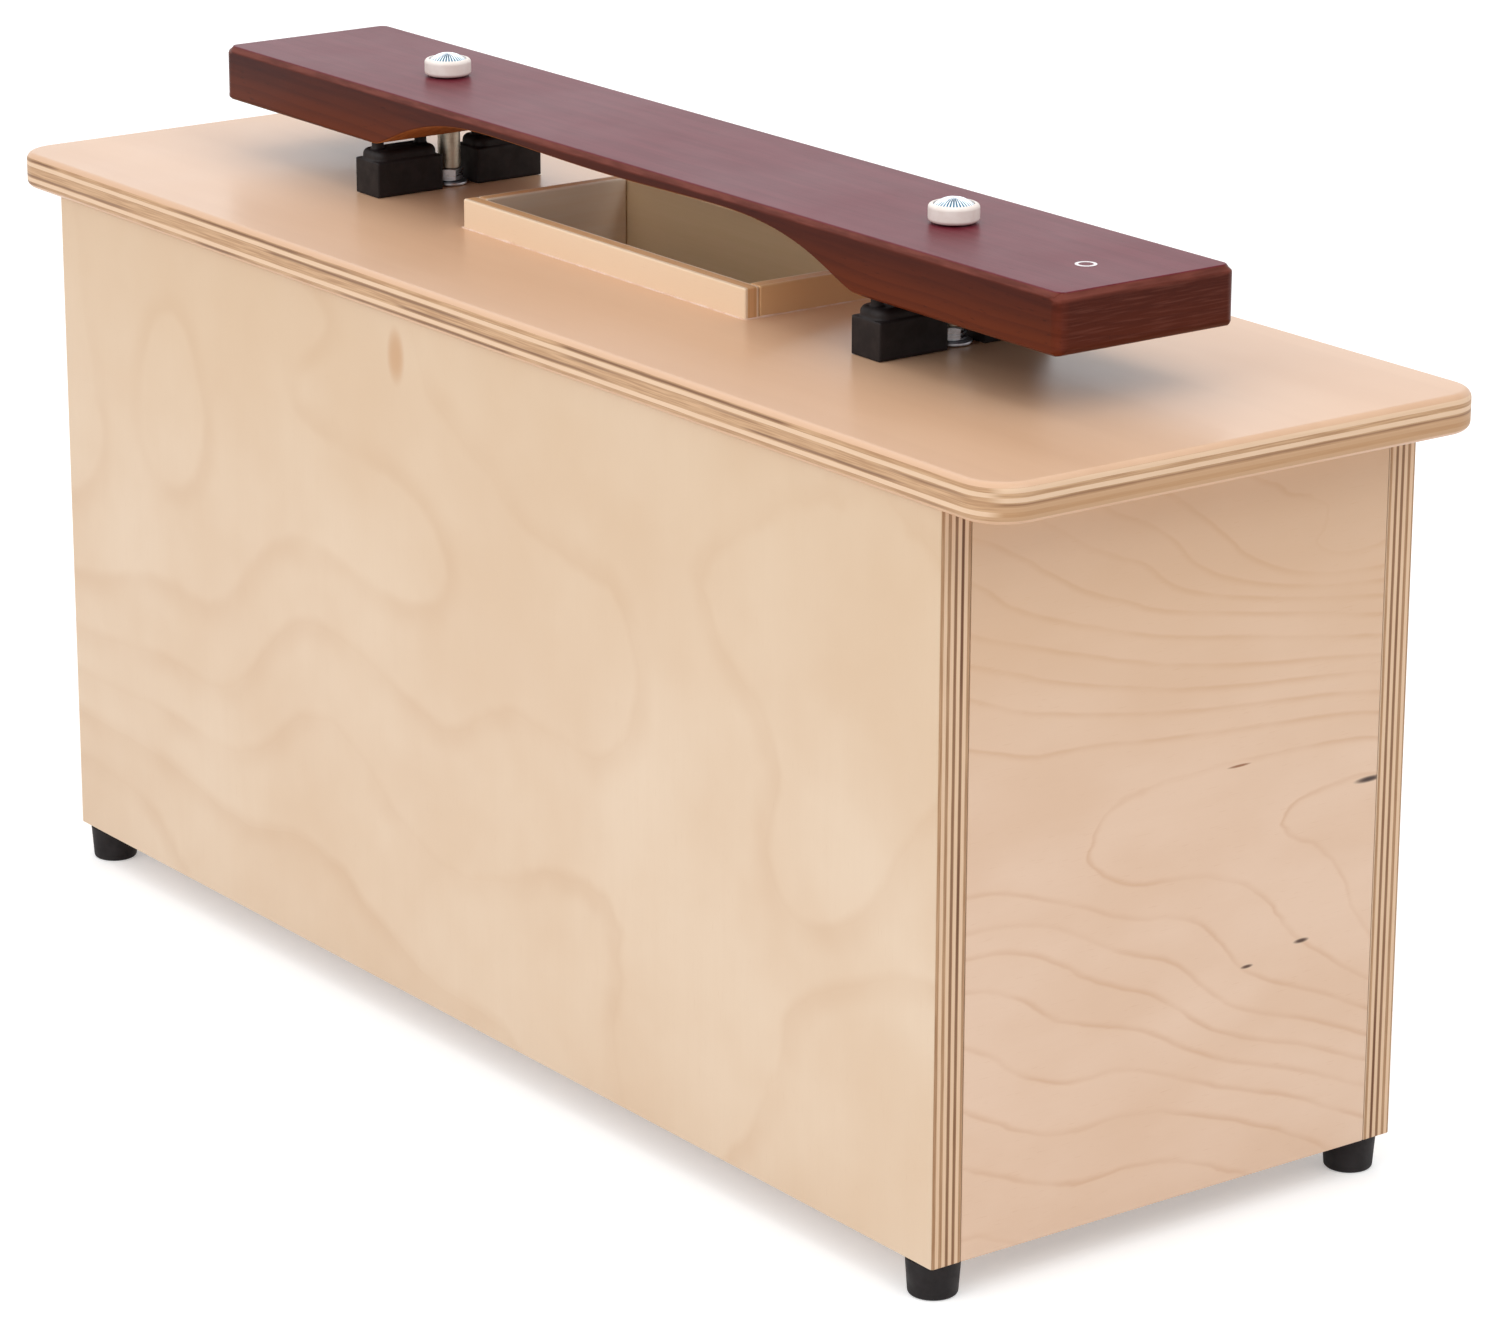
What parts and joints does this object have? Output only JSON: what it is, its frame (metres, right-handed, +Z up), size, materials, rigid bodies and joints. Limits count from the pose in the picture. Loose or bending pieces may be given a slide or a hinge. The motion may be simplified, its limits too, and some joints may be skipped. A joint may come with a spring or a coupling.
{
  "type": "bass resonator bar",
  "caption": "Low-pitched hardwood tone bar held by posts and rubber blocks above the open duct of a plywood sound box with an overhanging top plate and rubber feet.",
  "frame": {"origin": "on the floor under the middle of the box", "axes": "+X along the tone bar, +Z up, -Y the front"},
  "size_m": [0.6084, 0.2076, 0.3324],
  "materials": {
    "birch_ply": "clear satin lacquer",
    "bar_wood": "satin lacquer",
    "zinc_steel": "zinc plated",
    "sleeve_metal": "dull",
    "block_rubber": "matt",
    "foot_rubber": "matt",
    "white_plastic": "off-white",
    "bright_metal": "bright, fluted"
  },
  "bodies": {
    "box": {"front_panel": "birch_ply", "back_panel": "birch_ply", "left_end_panel": "birch_ply", "right_end_panel": "birch_ply", "bottom_panel": "birch_ply", "top_plate": "birch_ply", "collar_front": "birch_ply", "collar_back": "birch_ply", "collar_left": "birch_ply", "collar_right": "birch_ply", "left_stud": "zinc_steel", "left_lower_nut": "zinc_steel", "left_lower_washer": "zinc_steel", "left_upper_washer": "zinc_steel", "left_upper_nut": "zinc_steel", "right_stud": "zinc_steel", "right_lower_nut": "zinc_steel", "right_lower_washer": "zinc_steel", "right_upper_washer": "zinc_steel", "right_upper_nut": "zinc_steel", "left_sleeve": "sleeve_metal", "right_sleeve": "sleeve_metal", "left_front_block": "block_rubber", "left_back_block": "block_rubber", "right_front_block": "block_rubber", "right_back_block": "block_rubber", "left_front_foot": "foot_rubber", "left_back_foot": "foot_rubber", "right_front_foot": "foot_rubber", "right_back_foot": "foot_rubber", "left_front_foot_screw": "zinc_steel", "left_back_foot_screw": "zinc_steel", "right_front_foot_screw": "zinc_steel", "right_back_foot_screw": "zinc_steel"},
    "bar": {"tone_bar": "bar_wood"},
    "left_cap": {"left_cap_ring": "white_plastic", "left_cap_dome": "bright_metal"},
    "right_cap": {"right_cap_ring": "white_plastic", "right_cap_dome": "bright_metal"}
  },
  "joints": [
    {"name": "bar_lift", "type": "slide", "parent": "box", "child": "bar", "axis": [0, 0, 1], "range_m": [0, 0.03]},
    {"name": "left_cap_pull", "type": "slide", "parent": "bar", "child": "left_cap", "axis": [0, 0, 1], "range_m": [0, 0.02]},
    {"name": "right_cap_pull", "type": "slide", "parent": "bar", "child": "right_cap", "axis": [0, 0, 1], "range_m": [0, 0.02]}
  ]
}
